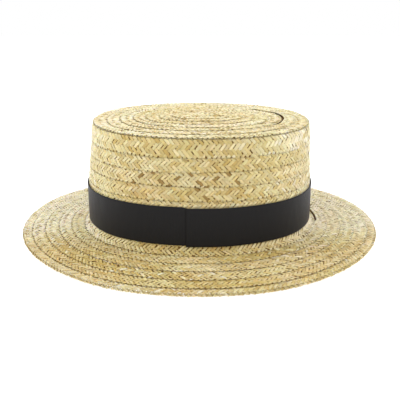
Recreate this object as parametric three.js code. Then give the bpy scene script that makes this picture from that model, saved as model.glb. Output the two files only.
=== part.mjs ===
// A straw boater hat: a flat oval crown tip, an upright crown side, a stiff brim that flares out
// from the crown's foot, a thicker edge row round the brim, and a ribbon round the foot of the
// crown whose outer end laps over its start.
// Millimetres, +Z up. The hat stands on its brim: the origin is on the floor under its middle,
// +X runs along the long axis of the oval, and the ribbon's lap is on the -Y side.
import * as THREE from "three";

// Driving dimensions.
const STRAW_WALL = 2.4; // plait sewn in overlapping rows
const JOINT_GAP = 0.3; // between neighbouring pieces
const CROWN_LENGTH = 200; // outside the foot of the crown, along X
const CROWN_WIDTH = 175; // the same, along Y
const CROWN_HEIGHT = 85.3; // from the top of the flare to the edge of the tip
const CROWN_LEAN = 5.5; // how far the side leans in between the ribbon and the tip
const FOOT_LEAN = 0.5; // how far it leans in behind the ribbon
const SHOULDER_RADIUS = 4; // where the side turns over to meet the tip
const TIP_DOME = 1.5; // rise of the tip's middle over its edge
const FLARE_RADIUS = 6.5; // where the foot of the crown turns out into the brim
const BRIM_WIDTH = 60; // from the crown's foot to the edge, all round
const BRIM_DROP = 5.2; // fall of the brim from the flare to the edge row, at the two long sides
const END_RISE = 4; // how much higher the brim's edge is at the two ends of the long axis
const EDGE_WIDTH = 8; // the edge row, seen from above
const EDGE_THICK = 3.2;
const EDGE_CHAMFER = 0.8;
const RIBBON_WIDTH = 31.3;
const RIBBON_THICK = 1;
const RIBBON_LIFT = 0.8; // from the top of the flare to the ribbon's lower edge
const FOOT_TUCK = 1.5; // how far above the ribbon's lower edge the crown side meets the brim
const LAP_ANGLE = 264.2; // degrees from +X to the ribbon's visible end
const LAP_SWEEP = 13; // degrees over which the ribbon lies on itself
const LAP_RAMP = 16; // degrees over which it climbs onto itself
const LAP_DROP = 1.4; // how far the outer end has slipped down

// How far each oval swells past a true ellipse towards its four quarters.
const CROWN_FULLNESS = 0.055;
const BRIM_FULLNESS = 0.022;
// The edge lies on the floor where the cosine of the angle from +X is under this, and rises past it.
const FLOOR_COSINE = 0.3;
const AROUND = 80; // facets round the hat
const DEGREE = Math.PI / 180;

const flareFoot = EDGE_THICK + BRIM_DROP;
const flareTop = flareFoot + FLARE_RADIUS;
const tipEdge = flareTop + CROWN_HEIGHT;
const ribbonFoot = flareTop + RIBBON_LIFT;
const ribbonTop = ribbonFoot + RIBBON_WIDTH;
const crownFoot = ribbonFoot + FOOT_TUCK;
const edgeJoint = BRIM_WIDTH - EDGE_WIDTH;

// An oval section: its half length along X, its half width along Y, its height over the floor at
// the long sides, its fullness, and how much higher it is at the two ends.
function section(halfLength, halfWidth, height, fullness = CROWN_FULLNESS, rise = 0) {
  return { halfLength, halfWidth, height, fullness, rise };
}

function ovalPoint({ halfLength, halfWidth, height, fullness, rise }, angle) {
  const c = Math.cos(angle);
  const s = Math.sin(angle);
  return new THREE.Vector3(
    halfLength * c * (1 + fullness * s * s),
    halfWidth * s * (1 + fullness * c * c),
    height + rise * THREE.MathUtils.smoothstep(Math.abs(c), FLOOR_COSINE, 1),
  );
}

// A closed wall through a loop of oval sections. The sections run anticlockwise in the half plane
// of radius and height, starting and ending on the axis or on the same section.
function ovalLathe(sections) {
  const outline = sections.map((at) => new THREE.Vector2(at.halfWidth, at.height));
  const geometry = new THREE.LatheGeometry(outline, AROUND);
  const position = geometry.attributes.position;
  for (let i = 0; i < position.count; i += 1) {
    const turn = Math.floor(i / sections.length) % AROUND;
    const point = ovalPoint(sections[i % sections.length], (turn / AROUND) * 2 * Math.PI);
    position.setXYZ(i, point.x, point.y, point.z);
  }
  return geometry;
}

// The crown's outer face at a height, or the face that lies inset millimetres inside it.
function crownFace(height, inset = 0) {
  const low = THREE.MathUtils.clamp((height - flareTop) / (ribbonTop - flareTop), 0, 1);
  const high = THREE.MathUtils.clamp((height - ribbonTop) / (tipEdge - ribbonTop), 0, 1);
  const lean = FOOT_LEAN * low + CROWN_LEAN * high + inset;
  return section(CROWN_LENGTH / 2 - lean, CROWN_WIDTH / 2 - lean, height);
}

// The quarter turn of the shoulder, from the side up to the tip.
function shoulder(inset, steps = 4) {
  const start = crownFace(tipEdge - SHOULDER_RADIUS);
  const radius = SHOULDER_RADIUS - inset;
  return Array.from({ length: steps + 1 }, (_, i) => {
    const turn = (i / steps) * 90 * DEGREE;
    const back = SHOULDER_RADIUS - radius * Math.cos(turn);
    const height = tipEdge - SHOULDER_RADIUS + radius * Math.sin(turn);
    return section(start.halfLength - back, start.halfWidth - back, height);
  });
}

function crownSide() {
  const outer = [crownFace(crownFoot), crownFace(ribbonTop), ...shoulder(0)];
  const inner = [
    ...shoulder(STRAW_WALL).reverse(),
    crownFace(ribbonTop, STRAW_WALL),
    crownFace(crownFoot, STRAW_WALL),
  ];
  return ovalLathe([...outer, ...inner, outer[0]]);
}

// A shallow dome inside the shoulder's rim, with the same wall below as above.
function crownTip() {
  const rim = shoulder(0).at(-1);
  const face = (share, drop) =>
    section(
      (rim.halfLength - JOINT_GAP) * share,
      (rim.halfWidth - JOINT_GAP) * share,
      tipEdge + TIP_DOME * (1 - share * share) - drop,
    );
  const shares = [0, 0.2, 0.4, 0.6, 0.8, 1];
  const lower = shares.map((share) => face(share, STRAW_WALL));
  const upper = shares.map((share) => face(share, 0)).reverse();
  return ovalLathe([...lower, ...upper]);
}

// A section of the brim that lies out from the crown's foot by a distance.
function brimSection(out, height) {
  const share = THREE.MathUtils.clamp(out / BRIM_WIDTH, 0, 1);
  return section(
    CROWN_LENGTH / 2 + out,
    CROWN_WIDTH / 2 + out,
    height,
    THREE.MathUtils.lerp(CROWN_FULLNESS, BRIM_FULLNESS, share),
    END_RISE * THREE.MathUtils.clamp(out / edgeJoint, 0, 1),
  );
}

// One face of the brim, inset below its upper face: down the crown's foot, round the flare, and
// out to the edge row.
function brimFace(inset, steps = 4) {
  const neck = crownFace(crownFoot - JOINT_GAP, inset);
  const flare = Array.from({ length: steps + 1 }, (_, i) => {
    const turn = (i / steps) * 90 * DEGREE;
    const radius = FLARE_RADIUS + inset;
    return brimSection(
      FLARE_RADIUS - radius * Math.cos(turn),
      flareTop - radius * Math.sin(turn),
    );
  });
  const slope = [0.25, 0.5, 0.75, 1].map((share) =>
    brimSection(
      THREE.MathUtils.lerp(FLARE_RADIUS, edgeJoint - JOINT_GAP, share),
      THREE.MathUtils.lerp(flareFoot, EDGE_THICK, share) - inset,
    ),
  );
  return [neck, ...flare, ...slope];
}

function brim() {
  const lower = brimFace(STRAW_WALL);
  const upper = brimFace(0).reverse();
  return ovalLathe([...lower, ...upper, lower[0]]);
}

// The edge row is a bar with chamfered corners. It lies flat on the floor at the long sides.
function brimEdge() {
  const outline = [
    { inward: EDGE_WIDTH - EDGE_CHAMFER, height: 0 },
    { inward: EDGE_CHAMFER, height: 0 },
    { inward: 0, height: EDGE_CHAMFER },
    { inward: 0, height: EDGE_THICK - EDGE_CHAMFER },
    { inward: EDGE_CHAMFER, height: EDGE_THICK },
    { inward: EDGE_WIDTH - EDGE_CHAMFER, height: EDGE_THICK },
    { inward: EDGE_WIDTH, height: EDGE_THICK - EDGE_CHAMFER },
    { inward: EDGE_WIDTH, height: EDGE_CHAMFER },
  ];
  const at = ({ inward, height }) => brimSection(BRIM_WIDTH - inward, height);
  return ovalLathe([...outline, outline[0]].map(at));
}

// The ribbon is one strip, extruded straight and then wrapped round the crown. It starts behind
// the lap, goes once round, climbs onto its own start and ends at the lap angle.
function hatBand() {
  const sweep = 360 + LAP_SWEEP;
  const strip = new THREE.Shape();
  strip.moveTo(0, 0);
  strip.lineTo(RIBBON_THICK, 0);
  strip.lineTo(RIBBON_THICK, RIBBON_WIDTH);
  strip.lineTo(0, RIBBON_WIDTH);
  strip.closePath();
  const geometry = new THREE.ExtrudeGeometry(strip, {
    depth: sweep,
    steps: Math.round((sweep / 360) * AROUND),
    bevelEnabled: false,
  });
  const lapStart = sweep - LAP_SWEEP;
  const position = geometry.attributes.position;
  for (let i = 0; i < position.count; i += 1) {
    const turned = position.getZ(i);
    const climb = THREE.MathUtils.smoothstep(turned, lapStart - LAP_RAMP, lapStart);
    const slip = LAP_DROP * THREE.MathUtils.smoothstep(turned, sweep / 2, sweep);
    const height = ribbonFoot + position.getY(i) - slip;
    const off = JOINT_GAP + position.getX(i) + climb * (RIBBON_THICK + JOINT_GAP);
    const angle = (LAP_ANGLE + LAP_SWEEP - turned) * DEGREE;
    const point = ovalPoint(crownFace(height, -off), angle);
    position.setXYZ(i, point.x, point.y, point.z);
  }
  return geometry;
}

const straw = new THREE.MeshStandardMaterial({ color: 0xd8c48a, roughness: 0.55, metalness: 0 });
const edgeStraw = new THREE.MeshStandardMaterial({ color: 0xd4bd80, roughness: 0.6, metalness: 0 });
const ribbon = new THREE.MeshStandardMaterial({ color: 0x1d1c1e, roughness: 0.6, metalness: 0 });

const hat = new THREE.Group();
const pieces = [
  { name: "crown_tip", geometry: crownTip(), material: straw },
  { name: "crown_side", geometry: crownSide(), material: straw },
  { name: "brim", geometry: brim(), material: straw },
  { name: "brim_edge", geometry: brimEdge(), material: edgeStraw },
  { name: "hat_band", geometry: hatBand(), material: ribbon },
];
for (const { name, geometry, material } of pieces) {
  const mesh = new THREE.Mesh(geometry, material);
  mesh.name = name;
  hat.add(mesh);
}

export default hat;
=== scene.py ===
# %% [markdown]
# # A straw boater
# A boater is sewn from one kind of stuff: straw plait, a flat braid about 14 mm
# wide. The plait is coiled from the middle of the tip outwards, down the side and
# out along the brim, and each turn is stitched over the edge of the turn before.
# A thicker plait is folded round the rim, and a wide black ribbon goes round the
# foot of the crown. This lesson plaits every straw as its own small mesh, because
# the rows, the folded edges and the dark gaps between straws are what make a
# straw hat look like one. A bump map could give the gaps, but not the ragged
# outlines.

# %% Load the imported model
import math

import bpy
import numpy as np
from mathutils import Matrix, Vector


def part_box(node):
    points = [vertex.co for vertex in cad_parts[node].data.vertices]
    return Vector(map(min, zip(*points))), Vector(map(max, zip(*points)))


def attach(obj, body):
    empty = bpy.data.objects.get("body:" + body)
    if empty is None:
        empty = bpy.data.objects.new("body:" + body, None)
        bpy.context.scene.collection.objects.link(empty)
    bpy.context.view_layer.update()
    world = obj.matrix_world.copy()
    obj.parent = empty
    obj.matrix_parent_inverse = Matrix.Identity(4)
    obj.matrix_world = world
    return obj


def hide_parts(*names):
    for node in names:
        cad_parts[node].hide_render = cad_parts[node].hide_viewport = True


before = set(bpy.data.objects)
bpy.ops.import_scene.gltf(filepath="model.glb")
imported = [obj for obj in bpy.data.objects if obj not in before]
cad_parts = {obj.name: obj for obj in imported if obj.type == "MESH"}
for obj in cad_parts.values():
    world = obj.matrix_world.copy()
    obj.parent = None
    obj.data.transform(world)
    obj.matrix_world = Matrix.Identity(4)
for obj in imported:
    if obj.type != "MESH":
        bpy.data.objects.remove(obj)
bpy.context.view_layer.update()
MM = 0.001
for node in sorted(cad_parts):
    low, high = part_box(node)
    print(node, [round(1000 * (h - l), 1) for l, h in zip(low, high)], "mm")

# %% [markdown]
# ## The shape that the plait is sewn to
# A hatter sews plait over a block. Here the block is a profile, from the middle of
# the tip to the rim, carried round an oval. It could be a lathe with a scale, but
# a real hat's ovals change: a full oval at the crown, a rounder one at the rim,
# and a brim that lifts at both ends. So the block is a function: given a distance
# along the profile and an angle, it says where the skin is and which way it faces.

# %% Sizes of the hat, in millimetres
CROWN_LENGTH = 200.0
CROWN_WIDTH = 175.0
TIP_HEIGHT = 100.8
TIP_DOME = 2.0
SHOULDER_RADIUS = 3.0
SHOULDER_OUT = -4.8
RIBBON_TOP = 47.5
RIBBON_FOOT = 15.2
FLARE_TOP = 14.9
FLARE_RADIUS = 6.5
EDGE_OUT = 52.0
EDGE_HEIGHT = 3.2
RIM_OUT = 60.0
END_RISE = 4.0
CROWN_SWAY = 1.3
CROWN_FULLNESS = 0.055
BRIM_FULLNESS = 0.022
rim_low, rim_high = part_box("brim_edge")
print("length over the rim", round(rim_high.x - rim_low.x, 4), "m;",
      "named sizes give", (CROWN_LENGTH + 2 * RIM_OUT) * MM)


# %% The profile, as distance out and height
def arc(centre_out, centre_height, radius, start, stop, count=24):
    """Points on a circle: centre plus radius times (cosine, sine) of angles in degrees."""
    turn = np.radians(np.linspace(start, stop, count))
    return np.stack([centre_out + radius * np.cos(turn),
                     centre_height + radius * np.sin(turn)], axis=1)


def evenly(points, step=0.1):
    """The same line with points a step apart, and at each one the normal, which is the
    tangent turned left."""
    points = np.asarray(points, float)
    length = np.concatenate([[0], np.cumsum(np.hypot(*np.diff(points, axis=0).T))])
    along = np.arange(0, length[-1] + step / 2, step)
    line = np.stack([np.interp(along, length, points[:, i]) for i in (0, 1)], axis=1)
    tangent = np.gradient(line, axis=0)
    tangent /= np.linalg.norm(tangent, axis=1)[:, None]
    return {"along": along, "line": line,
            "normal": np.stack([-tangent[:, 1], tangent[:, 0]], axis=1)}


across_tip = np.linspace(-CROWN_WIDTH / 2, SHOULDER_OUT - SHOULDER_RADIUS, 60)
tip_share = (across_tip - across_tip[0]) / (across_tip[-1] - across_tip[0])
tip_line = np.stack([across_tip, TIP_HEIGHT + TIP_DOME * (1 - tip_share ** 2)], axis=1)
HAT_PROFILE = evenly(np.concatenate([
    tip_line,
    arc(SHOULDER_OUT - SHOULDER_RADIUS, TIP_HEIGHT - SHOULDER_RADIUS, SHOULDER_RADIUS, 88, 0),
    [(-0.5, RIBBON_TOP)],
    arc(FLARE_RADIUS, FLARE_TOP, FLARE_RADIUS, 180, 270),
    [(EDGE_OUT, EDGE_HEIGHT), (RIM_OUT, EDGE_HEIGHT)],
]))
print("from the tip's middle to the rim:", round(HAT_PROFILE["along"][-1], 1), "mm")


# %% A point on the skin
def smooth_step(value, start, stop):
    """0 before start, 1 after stop, and 3x squared minus 2x cubed between them."""
    x = np.clip((value - start) / (stop - start), 0, 1)
    return x * x * (3 - 2 * x)


def skin(profile, along, angle, lift):
    """Where the skin is, in metres: an oval whose half axes are the crown's plus the
    profile's distance out, filled out a little between its axes, raised at both ends
    of the brim, swayed a little to one side at the top of the crown, as a worn boater
    is, and moved by lift along the outward normal."""
    def look_up(table, column):
        return np.interp(along, profile["along"], profile[table][:, column])
    out, height = look_up("line", 0), look_up("line", 1)
    normal_out, normal_up = look_up("normal", 0), look_up("normal", 1)
    cos, sin = np.cos(angle), np.sin(angle)
    half_length, half_width = CROWN_LENGTH / 2 + out, CROWN_WIDTH / 2 + out
    full = CROWN_FULLNESS + (BRIM_FULLNESS - CROWN_FULLNESS) * np.clip(out / RIM_OUT, 0, 1)
    x = half_length * cos * (1 + full * sin ** 2)
    y = half_width * sin * (1 + full * cos ** 2)
    side_x = half_width * (cos * (1 + full * cos ** 2) - 2 * full * cos * sin ** 2)
    side_y = half_length * (sin * (1 + full * sin ** 2) - 2 * full * sin * cos ** 2)
    size = np.hypot(side_x, side_y) + 1e-9
    rise = END_RISE * np.clip(out / EDGE_OUT, 0, 1) * smooth_step(np.abs(cos), 0.3, 1)
    sway = CROWN_SWAY * smooth_step(height, RIBBON_TOP, TIP_HEIGHT)
    return MM * np.stack([x + sway + lift * normal_out * side_x / size,
                          y + lift * normal_out * side_y / size,
                          height + rise + lift * normal_up], axis=-1)


def along_at(column, value, first, last):
    """The distance along the hat's profile, between first and last, where its out (0) or
    height (1) column has that value."""
    keep = (HAT_PROFILE["along"] >= first) & (HAT_PROFILE["along"] <= last)
    line, along = HAT_PROFILE["line"][keep, column], HAT_PROFILE["along"][keep]
    order = np.argsort(line)
    return float(np.interp(value, line[order], along[order]))


TIP_PART, SIDE_PART, BRIM_PART = (0, 80), (85, 170), (170, 300)
TIP_END = along_at(0, SHOULDER_OUT - SHOULDER_RADIUS, *TIP_PART)
BRIM_START = along_at(0, FLARE_RADIUS, *BRIM_PART)
print("tip ends at", round(TIP_END, 1), "and the flat brim starts at", round(BRIM_START, 1), "mm")

# %% [markdown]
# ## One plait
# The plait has two families of straws, which lean left and right at a little under
# 45 degrees to it and pass over two, under two. Every straw folds at the plait's
# edge and comes back in the other family, after eight crossings. One straw is a
# grid: thirteen lines across it, and six points round it, with both ends pinched
# flat and narrower where it folds. Its height follows a squared-off sine wave, up
# over two crossing straws and down under the next two. Curves with a bevel would
# be quicker to write, but they can't be cut along the fold, and thousands of them
# are slow.

# %% The weave, in millimetres
STRAW_PITCH = 3.75
PLAIT_WIDTH = 14.1
STRAW_PINCH = 0.18
WEAVE_HEIGHT = 0.2
STRAW_TOP = 0.2
STRAW_UNDER = 0.14
FOLD_WIDTH = 0.5
FOLD_ROUND = 0.45
FOLD_HEIGHT = 0.06
SECOND_LINE = 0.4
SECOND_ROUND = 0.25
ROW_LAP = 0.55
SKIN_INSET = -0.85
WAVE_SQUARE = 2.2
RING_ACROSS = np.array([-1, -0.82, 0.82, 1, 0.82, -0.82])
RING_HEIGHT = np.array([0, STRAW_TOP, STRAW_TOP, 0, -STRAW_UNDER, -STRAW_UNDER])
RING_UNROLLED = np.array([0, 0.07, 0.43, 0.5, 0.57, 0.93, 1.0])
CROSSES = 8
CROSSINGS = np.array([0.9, 2.1, 2.5, 2.9, 4.1, 4.5, 4.9, 6.1, 6.5, 6.9])
LINES = len(CROSSINGS) + 3


def over_under(crossing):
    """The squared-off wave: the hyperbolic tangent of 2.2 times a sine with a period of 4
    crossings, which is above zero from a half to two and a half."""
    wave = np.sin(math.pi * (crossing - 0.5) / 2)
    return np.tanh(WAVE_SQUARE * wave) / math.tanh(WAVE_SQUARE)


def straw_template():
    """Faces of one straw, and each corner's place along and round it. The pinched ends
    share their upper and lower points, so a straw is closed with no caps."""
    keep = np.ones((LINES, 6), bool)
    keep[[0, -1], 4:] = False
    number = np.cumsum(keep).reshape(LINES, 6) - 1
    for end in (0, -1):
        number[end, 4], number[end, 5] = number[end, 2], number[end, 1]
    line, ring = np.meshgrid(np.arange(LINES - 1), np.arange(6), indexing="ij")
    after = (ring + 1) % 6
    faces = np.stack([number[line, ring], number[line + 1, ring],
                      number[line + 1, after], number[line, after]], axis=-1)
    corner_line = np.stack([line, line + 1, line + 1, line], axis=-1)
    corner_ring = np.stack([ring, ring, ring + 1, ring + 1], axis=-1)
    return (keep, faces.reshape(-1, 4), corner_line.reshape(-1), corner_ring.reshape(-1))


STRAW_KEEP, STRAW_FACES, CORNER_LINE, CORNER_RING = straw_template()
print("one straw has", int(STRAW_KEEP.sum()), "points and", 2 * len(STRAW_FACES), "triangles")


# %% Straws in the plait's own flat frame
def flat_straws(number, family, pitch, width, jitter):
    """Every straw laid flat. u runs along the plait and v across it, and n is height. A
    straw of family +1 is at u = number times pitch + lean times v, and one of family -1
    at minus that, so that half of its crossings carry it one pitch each, and both are cut
    across by lines that run the way the other family does. A straw is
    pinched wherever it goes from over to under, by the eighth power of a cosine, which
    opens the small dark holes. The first and last lines lie along the folded edges: they
    are narrower, rounded by the square of the place across, and each straw's fold stops a
    little short of the edge by its own amount."""
    across = RING_ACROSS[None, None, :] * jitter["width"][:, None, None]
    sign = family[:, None, None]
    shape = (len(number), LINES, 6)
    v = np.zeros(shape)
    short = jitter["fold"][:, None]
    v[:, 0] = FOLD_ROUND * RING_ACROSS ** 2 + short
    v[:, 1] = SECOND_LINE + SECOND_ROUND * RING_ACROSS ** 2
    middle = CROSSINGS[None, :, None]
    reach = np.concatenate([[0.5, 0.6], CROSSINGS, [0.5]])[None, :, None]
    across = across * (1 - STRAW_PINCH * np.cos(math.pi * (reach - 0.5) / 2) ** 8)
    across[:, [0, -1]] *= FOLD_WIDTH
    v[:, 2:-1] = (middle - sign * across[:, 2:-1] / 2) * width / CROSSES
    v[:, -1] = width - FOLD_ROUND * RING_ACROSS ** 2 - short
    v = np.clip(v, 0, width)
    lean = CROSSES / 2 * pitch / width
    u = number[:, None, None] * pitch + sign * v * lean + across * pitch / 2
    u = u + jitter["shift"][:, None, None] + jitter["skew"][:, None, None] * (v / width - 0.5)
    crossing = CROSSES * v / width + sign * across / 2
    n = sign * WEAVE_HEIGHT * over_under(crossing) + jitter["height"][:, None, None]
    n = n + across * jitter["tilt"][:, None, None]
    n = n + RING_HEIGHT * jitter["thick"][:, None, None]
    n[:, [0, -1]] = FOLD_HEIGHT * sign
    return u, v, n


# %% [markdown]
# ## Rows that go round
# A row is a plait led round the hat. Its upper edge moves by one pitch each turn,
# and the step is made in a short stretch at the back and right, where a hatter
# hides it. A helix would be simpler but would tilt every row. The rows wander a
# little, as hand-fed plait does, and each row's lower edge lies on top of the next
# one. In a hand-sewn hat an edge stands proud here and there, or a row is drawn
# aside so that the dark inside of the plait shows. A run lists those places.

# %% The line that a run of plait follows
SPARE_TURN = 0.05
STEPS_PER_TURN = 900
WANDER_WAVES = (1.37, 2.71, 5.3, 9.7)
NARROWEST_BAND = 1.5


def run_line(run, rng):
    """Turns t, the angle, and the upper and lower edges of the band: edge = first + pitch
    times (whole turns + a smooth step at each turn's start) + the wander, a sum of four
    sines that get weaker, held inside the run's own limits. u is the length of the band's
    middle line, summed from its points."""
    first_turn, last_turn = run["turns"]
    t = np.linspace(first_turn - SPARE_TURN, last_turn + SPARE_TURN,
                    int(STEPS_PER_TURN * (last_turn - first_turn + 2 * SPARE_TURN)))
    angle = math.radians(run["start"]) + 2 * math.pi * t
    stepped = np.floor(t) + smooth_step(t % 1, 0, run["step_share"])
    edge = run["first"] + run["pitch"] * stepped
    wander = sum(np.sin(2 * math.pi * (waves * t + rng.random())) / (i + 1)
                 for i, waves in enumerate(WANDER_WAVES))
    edge = edge + run["wander"] * wander
    top = np.clip(edge - run["tuck"] * (1 - smooth_step(t, 0, run["step_share"])),
                  run["limits"][0], None)
    bottom = np.clip(edge + run["width"], None, run["limits"][1])
    middle = skin(run["profile"], (top + bottom) / 2, angle, 0) / MM
    u = np.concatenate([[0], np.cumsum(np.linalg.norm(np.diff(middle, axis=0), axis=1))])
    return {"t": t, "u": u, "top": top, "bottom": np.maximum(bottom, top + NARROWEST_BAND)}


# %% Plait a run
STRAW_JITTER = {
    # what varies: (spread, least, most), in millimetres or as a share
    "width": (0.07, 0.76, 1.12),
    "shift": (0.26, -0.6, 0.6),
    "skew": (0.5, -1.1, 1.1),
    "fold": (0.25, 0, 0.5),
    "height": (0.06, -0.13, 0.13),
    "tilt": (0.11, -0.22, 0.22),
    "thick": (0.2, 0.6, 1.5),
}
FADE = 0.4


def straw_jitter(rng, fill, total):
    """A normal draw for each straw and each way it varies, cut off at a least and a most.
    Widths vary round the run's fill, thicknesses round 1 and the rest round 0, and a
    fold's draw loses its sign, because a straw only ever stops short."""
    middles = {"width": fill, "thick": 1}
    jitter = {}
    for word, (spread, least, most) in STRAW_JITTER.items():
        drawn = rng.normal(middles.get(word, 0), spread, total)
        jitter[word] = (np.abs(drawn) if word == "fold" else drawn).clip(least, most)
    return jitter


def near(t, middle, reach):
    """1 close to a place along the run and 0 further off than its reach, in turns."""
    return smooth_step(reach - np.abs(t - middle), 0, FADE * reach)


def plait(run, seed):
    """Lay every straw of a run on the skin. u gives the turn, v the place between the
    band's edges, and the lift is the inset, plus the lap times v over the width, plus the
    straw's own height. Each open place is (middle, reach, width): the band's upper edge
    draws in by that width and shows the backing. Each proud place is (middle, reach,
    height, outer): the band's lower or upper edge stands up by that height times the cube
    of how near the straw's point is to that edge."""
    rng = np.random.default_rng(seed)
    line = run_line(run, rng)
    first_u, last_u = np.interp(run["turns"], line["t"], line["u"])
    pitch = (last_u - first_u) / round((last_u - first_u) / STRAW_PITCH)
    count = round((last_u - first_u) / pitch)
    number = np.repeat(np.arange(count), 2)
    family = np.tile([1.0, -1.0], count)
    jitter = straw_jitter(rng, run["fill"], len(number))
    u, v, n = flat_straws(number, family, pitch, run["width"], jitter)
    u = u + first_u
    if run["closed"]:
        u = first_u + (u - first_u) % (last_u - first_u)
    t = np.interp(u, line["u"], line["t"])
    share = v / run["width"]
    top, bottom = (np.interp(t, line["t"], line[edge]) for edge in ("top", "bottom"))
    for middle, reach, width in run["open"]:
        top = top + width * near(t, middle, reach)
    angle = math.radians(run["start"]) + 2 * math.pi * t
    lift = run["inset"] + run["lap"] * share + n * run["relief"]
    for middle, reach, height, outer in run["proud"]:
        lift = lift + height * near(t, middle, reach) * (share if outer else 1 - share) ** 3
    points = skin(run["profile"], top + (bottom - top) * share, angle, lift)
    turn = t.mean(axis=(1, 2))
    tone, shade, blush = straw_tones(number, family, rng, points.mean(axis=(1, 2)), run, turn)
    return {"points": points[:, STRAW_KEEP], "tone": tone, "shade": shade, "blush": blush,
            "turn": turn}


print("a straw varies in", ", ".join(STRAW_JITTER))


# %% [markdown]
# ## Colour of the straws
# Straw is sorted but never one colour: cream, gold, tan, a little pink or green,
# and now and then a brown one. A noise texture would blend them, and the eye
# reads separate straws. So each straw gets a number from 0 to 1 and keeps it
# for three folds, as a real straw does before a new one is laid in.

# %% A tone for each straw
OWN_DRIFT = 19.0
SHARED_DRIFT = 75.0
BLUSH_DRIFT = 31.0
BASE_TONE = 0.80
DRIFT_DEPTH = 0.46
DRAW_DEPTH = 0.28
TONE_LIMITS = (0.26, 0.98)
PALE_SHARE, PALE_LIFT = 0.09, 0.35
DARK_SHARES, DARK_DROP = (0.93, 0.96), 0.16
BROWN_TONE, BROWN_SPREAD = 0.03, 0.07


def drift(rng, place, length):
    """Slow noise: a random value every length along, joined by smooth steps."""
    knots = rng.random(int(place.max() / length) + 3)
    before = np.floor(place / length).astype(int)
    share = smooth_step(place / length - before, 0, 1)
    return knots[before] * (1 - share) + knots[before + 1] * share


def straw_tones(number, family, rng, place, run, turn):
    """Straws k and k + 8 are joined by the fold, so the straw's name is k modulo 8 and how
    far along it is. Its tone is the base, less the run's own offset, less more at the
    front of the hat as painted shade, plus a drift along the row, most of it the straw's
    own family's, plus the straw's own small draw. A few straws are paler or darker than
    that, a run may be darker from its third turn on as painted shade, and a run's brown
    list is (first turn, last turn, name)."""
    strand = number % CROSSES
    laid = (number // CROSSES + 2 * strand) // 3
    draw, apart, which = rng.random((3, CROSSES, laid.max() + 1))[:, strand, laid]
    forward = -place[:, 1] / MM / CROWN_WIDTH * 2
    along = number * STRAW_PITCH
    own = np.where(family > 0, drift(rng, along, OWN_DRIFT), drift(rng, along, OWN_DRIFT))
    patch = 0.6 * own + 0.4 * drift(rng, along + 7, SHARED_DRIFT) - 0.5
    # Painted shade: the tone falls towards the front of the hat, where it gets less light.
    tone = BASE_TONE - run["front"] * smooth_step(forward, 0.1, 1.0) - run["golden"]
    tone = tone + DRIFT_DEPTH * patch + DRAW_DEPTH * (draw - 0.5)
    tone = np.where(apart < PALE_SHARE, tone + PALE_LIFT * which, tone).clip(*TONE_LIMITS)
    darker = (apart > DARK_SHARES[0]) & (apart < DARK_SHARES[1])
    # Painted shade: a run's turns from the third on are darker; on the tip these are the inner
    # rows round its middle, on top of the hat.
    tone = np.where(darker, tone - DARK_DROP, tone) - run["late_turn_shade"] * smooth_step(turn, 2, 4)
    for first, last, brown_strand in run["brown"]:
        brown = (turn > first) & (turn < last) & (strand == brown_strand)
        tone = np.where(brown, BROWN_TONE + BROWN_SPREAD * rng.random(len(number)), tone)
    blush = 1.5 * (drift(rng, along + 11, BLUSH_DRIFT) - 0.5)
    blush = blush + rng.normal(0, 0.3, len(number))
    return tone, rng.normal(0, 1, len(number)).clip(-2, 2), blush.clip(-1.3, 1.3)


print("tones run from brown, 0, through gold to pale cream, 1")


# %% From arrays to a mesh
def finish_piece(name, mesh, material, node):
    """An object for the mesh, at the origin, that rides on the hat and stands for a node."""
    mesh.update()
    mesh.materials.append(material)
    piece = bpy.data.objects.new(name, mesh)
    bpy.context.scene.collection.objects.link(piece)
    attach(piece, "root")
    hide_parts(node)
    mesh.calc_loop_triangles()
    print(name, len(mesh.loop_triangles), "triangles")
    return piece


TILE_SHAPE = 0.33
ALL_STRAWS = slice(None)


def atlas_corners(straws):
    """One tile for each straw: columns and rows chosen so that a tile is as long and as
    wide as the straw, with a margin round it. A straw unrolled is three times as long as
    it is wide, so there are a third as many columns as rows."""
    columns = max(1, round(math.sqrt(straws * TILE_SHAPE)))
    rows = math.ceil(straws / columns)
    along = np.linspace(0.04, 0.96, LINES)[CORNER_LINE]
    round_it = (0.06 + 0.88 * RING_UNROLLED)[CORNER_RING]
    which = np.arange(straws)[:, None]
    return np.stack([(which % columns + along) / columns,
                     (which // columns + round_it) / rows], axis=-1)


def straw_mesh(name, laid, chosen, material, node):
    """One mesh of the chosen straws, with an atlas map, a map in straw widths for the
    grain, and the tone and shade of each straw as attributes."""
    points = laid["points"][chosen]
    straws, each = points.shape[:2]
    faces = STRAW_FACES[None] + each * np.arange(straws)[:, None, None]
    mesh = bpy.data.meshes.new(name)
    mesh.from_pydata(points.reshape(-1, 3), [], faces.reshape(-1, 4))
    mesh.polygons.foreach_set("use_smooth", np.ones(len(mesh.polygons), bool))
    atlas = mesh.uv_layers.new(name="OFBake")
    atlas.data.foreach_set("uv", atlas_corners(straws).astype(np.float32).reshape(-1))
    offset = np.random.default_rng(straws).integers(0, 400, (straws, 1))
    grain = np.stack([CORNER_LINE[None] / (LINES - 1) + 2.0 * offset,
                      RING_UNROLLED[CORNER_RING][None] * 2 + 2.0 * offset], axis=-1)
    grain_map = mesh.uv_layers.new(name="StrawGrain")
    grain_map.data.foreach_set("uv", grain.astype(np.float32).reshape(-1))
    for word in ("tone", "shade", "blush"):
        values = np.repeat(laid[word][chosen], each).astype(np.float32)
        mesh.attributes.new(word, "FLOAT", "POINT").data.foreach_set("value", values)
    print(name, straws, "straws")
    return finish_piece(name, mesh, material, node)


# %% [markdown]
# ## The middle of the plait
# Real straw is a flattened tube, so the plait is several layers thick and no light
# comes through its holes: they look dark. Doubling every straw would double the
# triangles for something never seen. One thin closed strip, led along the same
# row between the two families of straws, closes the holes, and its colour is
# painted shade: straw as it looks in shadow.

# %% A strip through the middle of a run
BACKING_STEPS = 120
BACKING_SHARES = np.array([0.06, 0.28, 0.5, 0.72, 0.94])
BACKING_HALF = 0.03


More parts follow.
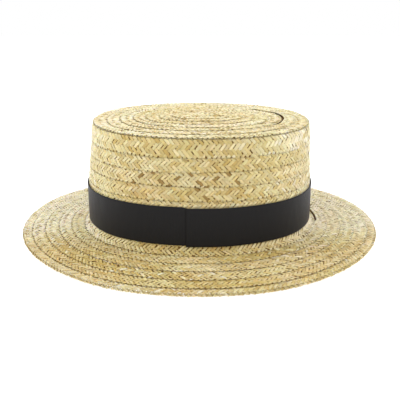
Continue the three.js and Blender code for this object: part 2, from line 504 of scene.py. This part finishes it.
def backing(name, run, seed, material, node):
    """A ring of ten points, five along the top and five back underneath, for each step
    along the run, on the same skin and at the same place between the row's edges."""
    line = run_line(run, np.random.default_rng(seed))
    blocks = math.ceil(run["turns"][1] - run["turns"][0])
    steps = blocks * BACKING_STEPS
    t = np.linspace(run["turns"][0], run["turns"][1], steps + 1)[:, None]
    share = np.concatenate([BACKING_SHARES, BACKING_SHARES[::-1]])[None, :]
    above = np.repeat([BACKING_HALF, -BACKING_HALF], 5)[None, :]
    top, bottom = (np.interp(t, line["t"], line[edge]) for edge in ("top", "bottom"))
    points = skin(run["profile"], top + (bottom - top) * share,
                  math.radians(run["start"]) + 2 * math.pi * t,
                  run["inset"] + run["lap"] * share + above)
    i, j = np.meshgrid(np.arange(steps), np.arange(10), indexing="ij")
    k = (j + 1) % 10
    faces = np.stack([i * 10 + j, (i + 1) * 10 + j, (i + 1) * 10 + k, i * 10 + k], axis=-1)
    caps = [list(range(10)), [steps * 10 + n for n in range(10)][::-1]]
    mesh = bpy.data.meshes.new(name)
    mesh.from_pydata(points.reshape(-1, 3), [], faces.reshape(-1, 4).tolist() + caps)
    along = (i % BACKING_STEPS)[..., None] + np.array([0, 1, 1, 0])
    around = np.stack([j, j, j + 1, j + 1], axis=-1) / 10
    corners = np.stack([along / BACKING_STEPS,
                        (i[..., None] // BACKING_STEPS + around) / blocks], axis=-1)
    corners = np.concatenate([corners.reshape(-1, 2), np.zeros((20, 2))])
    atlas = mesh.uv_layers.new(name="OFBake")
    atlas.data.foreach_set("uv", corners.astype(np.float32).reshape(-1))
    return finish_piece(name, mesh, material, node)


# %% [markdown]
# ## The straw itself
# Real straw is glossy on the outside with fine lines along it. The material looks
# up each straw's tone in a colour ramp, adds long thin noise along the straw for
# the grain, darkens both long edges to brown as painted shade, where the straw
# turns down and shadow falls between straws, and uses the same noise for bump
# and roughness.

# %% Colours and a helper for nodes
def from_screen(red, green, blue):
    """Screen values of 0 to 255 as linear light: each over 255, to the power of 2.2."""
    return tuple((c / 255) ** 2.2 for c in (red, green, blue)) + (1.0,)


def add_node(tree, kind, inputs=None, **settings):
    """One shader node, with its settings, and its inputs set or linked."""
    node = tree.nodes.new(kind)
    for word, value in settings.items():
        setattr(node, word, value)
    for socket, value in (inputs or {}).items():
        if isinstance(value, bpy.types.NodeSocket):
            tree.links.new(value, node.inputs[socket])
        else:
            node.inputs[socket].default_value = value
    return node


STRAW_COLOURS = [
    (0.00, from_screen(134, 106, 56)),
    (0.12, from_screen(172, 142, 82)),
    (0.26, from_screen(200, 170, 102)),
    (0.44, from_screen(213, 190, 130)),
    (0.62, from_screen(224, 207, 157)),
    (0.80, from_screen(233, 220, 176)),
    (1.00, from_screen(243, 233, 206)),
]


# %% The straw material
def straw_material(name):
    """Base colour = ramp of tone, times the blotches, the straw's own shade and the grain,
    times the tint between green and pink, times a painted shade in brown along the
    straw's long edges."""
    material = bpy.data.materials.new(name)
    material.use_nodes = True
    tree = material.node_tree
    shader = tree.nodes["Principled BSDF"]
    tone = add_node(tree, "ShaderNodeAttribute", attribute_name="tone")
    shade = add_node(tree, "ShaderNodeAttribute", attribute_name="shade")
    ramp = add_node(tree, "ShaderNodeValToRGB", {0: tone.outputs["Fac"]})
    while len(ramp.color_ramp.elements) < len(STRAW_COLOURS):
        ramp.color_ramp.elements.new(0.5)
    for stop, (place, colour) in zip(ramp.color_ramp.elements, STRAW_COLOURS):
        stop.position, stop.color = place, colour
    grain_map = add_node(tree, "ShaderNodeUVMap", uv_map="StrawGrain")
    stretch = add_node(tree, "ShaderNodeMapping",
                       {"Vector": grain_map.outputs[0], "Scale": (2.5, 14.0, 1.0)})
    grain = add_node(tree, "ShaderNodeTexNoise",
                     {"Vector": stretch.outputs[0], "Scale": 1.0, "Detail": 3.0,
                      "Roughness": 0.6}, noise_dimensions="2D")
    patch_place = add_node(tree, "ShaderNodeMapping",
                           {"Vector": grain_map.outputs[0], "Scale": (3.0, 0.6, 1.0)})
    patch = add_node(tree, "ShaderNodeTexNoise",
                     {"Vector": patch_place.outputs[0], "Scale": 1.0, "Detail": 1.0},
                     noise_dimensions="2D")
    split = add_node(tree, "ShaderNodeSeparateXYZ", {0: grain_map.outputs[0]})
    across = add_node(tree, "ShaderNodeMath", {0: split.outputs["Y"]}, operation="FRACT")
    from_middle = add_node(tree, "ShaderNodeMath", {0: across.outputs[0], 1: 0.5},
                           operation="SUBTRACT")
    to_edge = add_node(tree, "ShaderNodeMath", {0: from_middle.outputs[0]},
                       operation="ABSOLUTE")
    # Painted shade: both long edges of every straw are darkened to brown, for the shadow that
    # falls between neighbouring straws.
    edge = add_node(tree, "ShaderNodeMapRange",
                    {"Value": to_edge.outputs[0], "From Min": 0.40, "From Max": 0.5},
                    interpolation_type="SMOOTHSTEP")
    painted_edge_shade = add_node(tree, "ShaderNodeMix", {0: edge.outputs[0], 6: (1, 1, 1, 1),
                                                   7: (0.62, 0.50, 0.30, 1)},
                           data_type="RGBA")
    lines = add_node(tree, "ShaderNodeMapRange",
                     {"Value": grain.outputs["Fac"], "From Min": 0.3, "From Max": 0.7,
                      "To Min": 0.86, "To Max": 1.07})
    blotch = add_node(tree, "ShaderNodeMapRange",
                      {"Value": patch.outputs["Fac"], "From Min": 0.3, "From Max": 0.7,
                       "To Min": 0.9, "To Max": 1.06})
    own = add_node(tree, "ShaderNodeMapRange",
                   {"Value": shade.outputs["Fac"], "From Min": -2.0, "From Max": 2.0,
                    "To Min": 0.86, "To Max": 1.08})
    first = add_node(tree, "ShaderNodeMath", {0: blotch.outputs[0], 1: own.outputs[0]},
                     operation="MULTIPLY")
    all_of_it = add_node(tree, "ShaderNodeMath", {0: first.outputs[0], 1: lines.outputs[0]},
                         operation="MULTIPLY")
    colour = add_node(tree, "ShaderNodeVectorMath",
                      {0: ramp.outputs["Color"], "Scale": all_of_it.outputs[0]},
                      operation="SCALE")
    blush = add_node(tree, "ShaderNodeAttribute", attribute_name="blush")
    pinkness = add_node(tree, "ShaderNodeMapRange",
                        {"Value": blush.outputs["Fac"], "From Min": -1.3, "From Max": 1.3})
    tint = add_node(tree, "ShaderNodeMix", {0: pinkness.outputs[0],
                                            6: (0.95, 1.0, 0.91, 1), 7: (1.0, 0.94, 0.97, 1)},
                    data_type="RGBA")
    tinted = add_node(tree, "ShaderNodeVectorMath",
                      {0: colour.outputs[0], 1: tint.outputs[2]}, operation="MULTIPLY")
    edge_shaded = add_node(tree, "ShaderNodeVectorMath",
                     {0: tinted.outputs[0], 1: painted_edge_shade.outputs[2]}, operation="MULTIPLY")
    tree.links.new(edge_shaded.outputs[0], shader.inputs["Base Color"])
    rough = add_node(tree, "ShaderNodeMapRange",
                     {"Value": grain.outputs["Fac"], "From Min": 0.3, "From Max": 0.7,
                      "To Min": 0.56, "To Max": 0.36})
    tree.links.new(rough.outputs[0], shader.inputs["Roughness"])
    bump = add_node(tree, "ShaderNodeBump",
                    {"Height": grain.outputs["Fac"], "Strength": 0.35, "Distance": 0.0002})
    tree.links.new(bump.outputs[0], shader.inputs["Normal"])
    shader.inputs["Specular IOR Level"].default_value = 0.35
    shader.inputs["Subsurface Weight"].default_value = 0.25
    shader.inputs["Subsurface Scale"].default_value = 0.0008
    shader.inputs["Subsurface Radius"].default_value = (1.0, 0.7, 0.3)
    return material


def shadow_straw_material():
    """Painted shade: dark golden brown, mottled by noise in the object's own place."""
    material = bpy.data.materials.new("straw_in_shadow")
    material.use_nodes = True
    tree = material.node_tree
    shader = tree.nodes["Principled BSDF"]
    place = add_node(tree, "ShaderNodeTexCoord")
    noise = add_node(tree, "ShaderNodeTexNoise",
                     {"Vector": place.outputs["Object"], "Scale": 260.0, "Detail": 3.0})
    mottle = add_node(tree, "ShaderNodeMix", {0: noise.outputs["Fac"],
                                              6: from_screen(76, 50, 18),
                                              7: from_screen(120, 88, 38)}, data_type="RGBA")
    tree.links.new(mottle.outputs[2], shader.inputs["Base Color"])
    shader.inputs["Roughness"].default_value = 0.7
    shader.inputs["Specular IOR Level"].default_value = 0.2
    return material


STRAW = straw_material("golden_straw")
SHADOW_STRAW = shadow_straw_material()
EDGE_STRAW = straw_material("deep_golden_straw")
print("materials:", STRAW.name, SHADOW_STRAW.name, EDGE_STRAW.name)

# %% [markdown]
# ## The tip
# The tip is a spiral of seven rows, each one tucked under the edge of the row
# inside it. It is led from the outside in, which makes the spiral turn the other
# way from the side's. The step from row to row takes a third of a turn, because
# the rows are short here. On the right one row's inner edge stands proud, with a
# narrow dark gap beside it. The rows could be separate rings, but then no step
# would show. One fault is left: the last row's straws fold just short of the
# middle line, and so does the strip behind them, so from above there is a slit.

# %% Plait the tip
TIP_OVERHANG = 2.8
TIP_EDGE = TIP_END + TIP_OVERHANG
TIP_ROWS = 7
# The tip's inner rows are darkened by 0.09 of tone: painted shade on the top of the hat.
tip_run = {"profile": HAT_PROFILE, "first": TIP_EDGE - PLAIT_WIDTH, "width": PLAIT_WIDTH,
           "pitch": -(TIP_EDGE - PLAIT_WIDTH) / (TIP_ROWS - 1),
           "turns": (-1.0, TIP_ROWS - 1 + 0.15), "start": -24.0, "step_share": 0.32,
           "tuck": 0.0, "limits": (0.0, TIP_EDGE), "wander": 0.25, "closed": False,
           "inset": SKIN_INSET, "lap": 0.8, "relief": 1.25, "fill": 0.9,
           "golden": 0.05, "front": 0.1, "late_turn_shade": 0.09, "brown": [],
           "proud": [(1.10, 0.125, 2.0, False), (-0.3, 0.5, 0.5, True)],
           "open": [(1.05, 0.09, 3.3)]}
tip = plait(tip_run, 11)
straw_mesh("crown_tip_plait", tip, ALL_STRAWS, STRAW, "crown_tip")
backing("crown_tip_backing", tip_run, 11, SHADOW_STRAW, "crown_tip")

# %% [markdown]
# ## The side
# The side's first row goes over the shoulder from under the tip's edge, and its
# last rows are hidden behind the ribbon, but they show inside the hat. It is made
# as two meshes, upper and lower, to keep each one light.

# %% Plait the side
SIDE_ROWS = 7
FIRST_ROW_FOOT = 84.3
LAST_ROW_FOOT = 16.6
side_first = along_at(1, FIRST_ROW_FOOT, *SIDE_PART) - PLAIT_WIDTH
side_last = along_at(1, LAST_ROW_FOOT, *SIDE_PART)
side_run = dict(tip_run, first=side_first, start=40.0, step_share=0.28, tuck=3.0,
                pitch=(side_last - PLAIT_WIDTH - side_first) / (SIDE_ROWS - 1),
                turns=(-1.0, SIDE_ROWS - 1 + 0.22), limits=(TIP_END + 1.0, side_last),
                wander=0.3, lap=ROW_LAP, fill=0.97, relief=1.15, golden=-0.02, front=0.28,
                late_turn_shade=0.0, brown=[(1.55, 1.70, 3), (2.62, 2.66, 1)], proud=[], open=[])
side = plait(side_run, 23)
upper = side["turn"] < 3.0
straw_mesh("crown_side_plait_upper", side, upper, STRAW, "crown_side")
straw_mesh("crown_side_plait_lower", side, ~upper, STRAW, "crown_side")
backing("crown_side_backing", side_run, 23, SHADOW_STRAW, "crown_side")

# %% [markdown]
# ## The brim
# The brim goes on from the side: its first row makes the flare that turns out from
# under the ribbon, and four more rows make the flat brim. Its straws are narrower
# than the crown's and stand higher, so its weave looks coarser. Beside the ribbon,
# on the right, one row's upper edge is drawn aside a little and stands proud.

# %% Plait the brim
BRIM_ROWS = 5
UNDER_RIM = 0.6
brim_first = BRIM_START - PLAIT_WIDTH
brim_last = along_at(0, EDGE_OUT + UNDER_RIM, *BRIM_PART)
brim_run = dict(side_run, first=brim_first, start=45.0, step_share=0.25, tuck=0.0,
                pitch=(brim_last - PLAIT_WIDTH - brim_first) / (BRIM_ROWS - 1),
                turns=(-1.0, BRIM_ROWS - 1 + 0.2), limits=(brim_first, brim_last),
                wander=0.3, lap=0.95, fill=0.88, relief=1.45, golden=-0.17, front=0.50,
                brown=[], proud=[(0.885, 0.045, 1.4, False)], open=[(0.885, 0.045, 3.6)])
brim = plait(brim_run, 37)
inner = brim["turn"] < 1.9
straw_mesh("brim_plait_inner", brim, inner, STRAW, "brim")
straw_mesh("brim_plait_outer", brim, ~inner, STRAW, "brim")
backing("brim_backing", brim_run, 37, SHADOW_STRAW, "brim")

# %% [markdown]
# ## The rim
# The rim is a plait folded in two over the brim's cut edge, so it is twice as
# thick, and its straws come over the fold like a rope. It is the same weave on a
# profile of its own: out along the top, round a small arc and back underneath.

# %% Plait the rim
RIM_RADIUS = 0.95
RIM_FOOT = 1.05
RIM_FLAT = 3.0
RIM_CENTRE = RIM_OUT - 0.35 - RIM_RADIUS
RIM_PROFILE = evenly(np.concatenate([
    [(EDGE_OUT - 4.4, 1.9)],
    arc(RIM_CENTRE, RIM_FOOT + RIM_RADIUS, RIM_RADIUS, 88, -90),
    [(RIM_CENTRE - RIM_FLAT, RIM_FOOT)],
]))
rim_length = float(RIM_PROFILE["along"][-1])
# The rim's golden offset of -0.14 makes all its straws paler: painted light, against the shade on
# its underside.
rim_run = dict(side_run, profile=RIM_PROFILE, first=0.0, width=rim_length, pitch=0.0,
               turns=(0.0, 1.0), start=100.0, step_share=0.5, tuck=0.0, closed=True,
               limits=(0.0, rim_length), wander=0.0, inset=0.0, lap=0.0, relief=1.6,
               fill=0.88, front=0.32, golden=-0.14, brown=[], proud=[], open=[])
rim = plait(rim_run, 53)
straw_mesh("brim_edge_plait", rim, ALL_STRAWS, EDGE_STRAW, "brim_edge")

# %% [markdown]
# ## The ribbon
# A boater's ribbon is one strip of ribbed black grosgrain. It starts behind its
# own lap, goes once round the crown, and its turned-in end is stitched down on
# top. It could be a ring, but then the lap and its slightly lower edge would be
# missing. Here it is a thin closed sheet: a small rounded rectangle carried round.

# %% Sizes of the ribbon, in millimetres and degrees
RIBBON_THICK = 0.45
RIBBON_OFF = 0.5
LAP_ANGLE = 264.2
LAP_SWEEP = 13.0
LAP_RAMP = 16.0
LAP_DROP = 0.8
LAP_TUCK = 2.2
RIBBON_STEPS = 520
RIBBON_RISE = 24
RIBBON_EDGE = 0.006
RIBBON_BILLOW = 0.125
RIBBON_FLARE = 0.25
RIPPLE_LONG, RIPPLE_SHORT = 0.12, 0.08
CLIMB_CLEAR = 0.35
print("the ribbon's end laps over its start by", LAP_SWEEP, "degrees")


def crown_face(height):
    """How far out the crown's face is at a height: straight lines between the named points."""
    return np.interp(height, [FLARE_TOP, RIBBON_TOP, TIP_HEIGHT - SHOULDER_RADIUS],
                     [0.0, -0.5, SHOULDER_OUT])


def oval_point(out, height, angle):
    """The crown's oval at that distance out."""
    cos, sin = np.cos(angle), np.sin(angle)
    return MM * np.stack([(CROWN_LENGTH / 2 + out) * cos * (1 + CROWN_FULLNESS * sin ** 2),
                          (CROWN_WIDTH / 2 + out) * sin * (1 + CROWN_FULLNESS * cos ** 2),
                          height], axis=-1)


# %% Make the ribbon
def ribbon_sheet():
    """A ring of points round the ribbon's section, for each step along the strip: up the
    outer face, over the edge, down the inner face. The strip climbs by its own thickness
    over the start of its lap and slips lower towards its end, and its hidden start is
    tucked down. Its lower edge ripples by two sines, its middle billows by half a sine
    and its upper edge flares by the sixth power of the height."""
    sweep = 360.0 + LAP_SWEEP
    turned = np.linspace(0, sweep, RIBBON_STEPS)
    up = np.linspace(0, 1, RIBBON_RISE)
    face = RIBBON_EDGE + (1 - 2 * RIBBON_EDGE) * up
    rise = np.concatenate([[0.0], face, [1.0], face[::-1]])
    off = np.concatenate([[0.5], np.ones(RIBBON_RISE), [0.5], np.zeros(RIBBON_RISE)])
    climb = smooth_step(turned, sweep - LAP_SWEEP - LAP_RAMP, sweep - LAP_SWEEP)
    slip = LAP_DROP * smooth_step(turned, sweep / 2, sweep)
    tuck = LAP_TUCK * (1 - smooth_step(turned, LAP_SWEEP - 4, LAP_SWEEP + 2))
    turn, part = turned[:, None], rise[None, :]
    ripple = (RIPPLE_LONG * np.sin(np.radians(3 * turn + 40))
              + RIPPLE_SHORT * np.sin(np.radians(11 * turn)))
    height = (RIBBON_FOOT + (RIBBON_TOP - RIBBON_FOOT) * part - slip[:, None]
              - tuck[:, None] * part + ripple * (1 - part * 0.5))
    billow = np.sin(math.pi * part) * (0.6 + 0.4 * np.sin(np.radians(5 * turn + 70)))
    out = (crown_face(height) + RIBBON_OFF + off[None, :] * RIBBON_THICK
           + RIBBON_BILLOW * billow + RIBBON_FLARE * part ** 6
           + climb[:, None] * (RIBBON_THICK + CLIMB_CLEAR))
    return oval_point(out, height, np.radians(LAP_ANGLE + LAP_SWEEP - turn)), rise


ribbon_points, ribbon_rise = ribbon_sheet()
steps, section = ribbon_points.shape[:2]
i, j = np.meshgrid(np.arange(steps - 1), np.arange(section), indexing="ij")
k = (j + 1) % section
ribbon_faces = np.stack([i * section + j, i * section + k, (i + 1) * section + k,
                         (i + 1) * section + j], axis=-1).reshape(-1, 4)
ends = [list(range(section)), [(steps - 1) * section + n for n in range(section)][::-1]]
ribbon_mesh = bpy.data.meshes.new("hat_ribbon")
ribbon_mesh.from_pydata(ribbon_points.reshape(-1, 3), [], ribbon_faces.tolist() + ends)
ribbon_mesh.polygons.foreach_set("use_smooth", np.ones(len(ribbon_mesh.polygons), bool))
print("the ribbon has", len(ribbon_mesh.polygons), "faces")


# %% The ribbon's material
def ribbon_material():
    """Near-black satin, with fine ribs across the strip from a wave in the ribbon's own
    map, whose u is in ribs, and a violet-grey sheen."""
    material = bpy.data.materials.new("black_grosgrain")
    material.use_nodes = True
    tree = material.node_tree
    shader = tree.nodes["Principled BSDF"]
    rib_map = add_node(tree, "ShaderNodeUVMap", uv_map="RibbonRibs")
    split = add_node(tree, "ShaderNodeSeparateXYZ", {0: rib_map.outputs[0]})
    turns = add_node(tree, "ShaderNodeMath", {0: split.outputs["X"], 1: 2 * math.pi},
                     operation="MULTIPLY")
    ribs = add_node(tree, "ShaderNodeMath", {0: turns.outputs[0]}, operation="SINE")
    noise = add_node(tree, "ShaderNodeTexNoise",
                     {"Vector": rib_map.outputs[0], "Scale": 0.25, "Detail": 4.0},
                     noise_dimensions="2D")
    both = add_node(tree, "ShaderNodeMath", {0: noise.outputs["Fac"], 1: ribs.outputs[0]},
                    operation="ADD")
    bump = add_node(tree, "ShaderNodeBump",
                    {"Height": both.outputs[0], "Strength": 0.25, "Distance": 0.0002})
    tree.links.new(bump.outputs[0], shader.inputs["Normal"])
    colour = add_node(tree, "ShaderNodeMix", {0: noise.outputs["Fac"],
                                              6: (0.0045, 0.0043, 0.0052, 1),
                                              7: (0.008, 0.0078, 0.009, 1)}, data_type="RGBA")
    tree.links.new(colour.outputs[2], shader.inputs["Base Color"])
    rough = add_node(tree, "ShaderNodeMapRange",
                     {"Value": noise.outputs["Fac"], "To Min": 0.42, "To Max": 0.6})
    tree.links.new(rough.outputs[0], shader.inputs["Roughness"])
    shader.inputs["Sheen Weight"].default_value = 0.1
    shader.inputs["Sheen Roughness"].default_value = 0.4
    shader.inputs["Sheen Tint"].default_value = (0.62, 0.58, 0.72, 1)
    shader.inputs["Specular IOR Level"].default_value = 0.2
    return material


# %% Put the ribbon on
RIB_PITCH = 1.1
ribbon_length = float(np.linalg.norm(np.diff(ribbon_points[:, 1], axis=0), axis=1).sum())
loops = np.zeros(len(ribbon_mesh.loops), np.int32)
ribbon_mesh.loops.foreach_get("vertex_index", loops)
step_of, part_of = loops // section, loops % section
ribs_along = step_of / (steps - 1) * ribbon_length / MM / RIB_PITCH
rib_map = ribbon_mesh.uv_layers.new(name="RibbonRibs")
rib_map.data.foreach_set("uv", np.stack(
    [ribs_along, ribbon_rise[part_of] * 8], axis=1).astype(np.float32).reshape(-1))
ribbon = bpy.data.objects.new("hat_ribbon", ribbon_mesh)
bpy.context.scene.collection.objects.link(ribbon)
ribbon_mesh.materials.append(ribbon_material())
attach(ribbon, "root")
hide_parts("hat_band")
print("the ribbon is", round(ribbon_length, 3), "m long")

# %% [markdown]
# ## Table, light and camera
# The hat stands on a plain pale table that glows a little from below, as white
# product tables do, so the shadow stays light. Four soft boxes hang round the hat,
# all higher than it: a large one in front, the strongest, two at the sides, which
# light the flanks of the crown, and a weaker one behind for the tip. One bright sky
# would be simpler, but the crown would lose its darker middle.

# %% Table
TABLE_SIZE = 6.0
table_mesh = bpy.data.meshes.new("table")
corner = TABLE_SIZE / 2
table_mesh.from_pydata([(-corner, -corner, 0), (corner, -corner, 0), (corner, corner, 0),
                        (-corner, corner, 0)], [], [(0, 1, 2, 3)])
table = bpy.data.objects.new("table", table_mesh)
bpy.context.scene.collection.objects.link(table)
table_material = bpy.data.materials.new("white_table")
table_material.use_nodes = True
table_shader = table_material.node_tree.nodes["Principled BSDF"]
table_shader.inputs["Base Color"].default_value = (0.5, 0.5, 0.5, 1)
table_shader.inputs["Roughness"].default_value = 0.9
table_shader.inputs["Specular IOR Level"].default_value = 0.1
table_shader.inputs["Emission Color"].default_value = (1, 1, 1, 1)
table_shader.inputs["Emission Strength"].default_value = 0.8
table_mesh.materials.append(table_material)


# %% Lights
LIT_POINT = (0, 0, 0.05)


def soft_box(name, place, size, power):
    """A square area light at a place in metres, turned to face the crown."""
    light = bpy.data.lights.new(name, "AREA")
    light.shape, light.size, light.energy = "SQUARE", size, power
    lamp = bpy.data.objects.new(name, light)
    lamp.location = place
    towards = Vector(LIT_POINT) - Vector(place)
    lamp.rotation_euler = towards.to_track_quat("-Z", "Y").to_euler()
    bpy.context.scene.collection.objects.link(lamp)


soft_box("back_box", (0.0, 0.85, 0.95), 1.0, 4.6)
soft_box("left_box", (-0.85, -0.05, 0.82), 0.7, 6.9)
soft_box("right_box", (0.85, 0.0, 0.82), 0.7, 6.0)
soft_box("front_box", (0.1, -1.2, 1.0), 1.0, 7.2)
world = bpy.data.worlds.new("studio")
bpy.context.scene.world = world
world.use_nodes = True
studio = world.node_tree
room = studio.nodes["Background"]
room.inputs["Color"].default_value = (1, 1, 1, 1)
room.inputs["Strength"].default_value = 0.46
backdrop = add_node(studio, "ShaderNodeBackground", {"Color": (1, 1, 1, 1), "Strength": 1.0})
seen = add_node(studio, "ShaderNodeLightPath")
either = add_node(studio, "ShaderNodeMixShader",
                  {0: seen.outputs["Is Camera Ray"], 1: room.outputs[0],
                   2: backdrop.outputs[0]})
studio.links.new(either.outputs[0], studio.nodes["World Output"].inputs["Surface"])
bpy.context.scene.view_settings.view_transform = "Standard"
print("soft boxes:", len(bpy.data.lights))

# %% [markdown]
# ## The camera
# The camera stands in front of the hat at the height of a person looking down at a
# table, and close enough for the brim's near edge to look lower and wider than its
# far one. It looks at a point just over the table, and a small shift of the lens
# puts the hat in the picture's middle without tilting the camera further.

# %% Camera
CAMERA_DISTANCE = 0.560
CAMERA_ELEVATION = math.radians(19.5)
AIM = Vector((0, 0, 0.01314))
camera_data = bpy.data.cameras.new("camera")
camera_data.lens = 54.05
camera_data.shift_x = 0.0013
camera_data.shift_y = 0.0286
camera_data.clip_start = 0.01
camera = bpy.data.objects.new("camera", camera_data)
away = Vector((0, -math.cos(CAMERA_ELEVATION), math.sin(CAMERA_ELEVATION)))
camera.location = AIM + CAMERA_DISTANCE * away
camera.rotation_euler = (-away).to_track_quat("-Z", "Y").to_euler()
bpy.context.scene.collection.objects.link(camera)
bpy.context.scene.camera = camera
print("camera at", [round(c, 3) for c in camera.location])
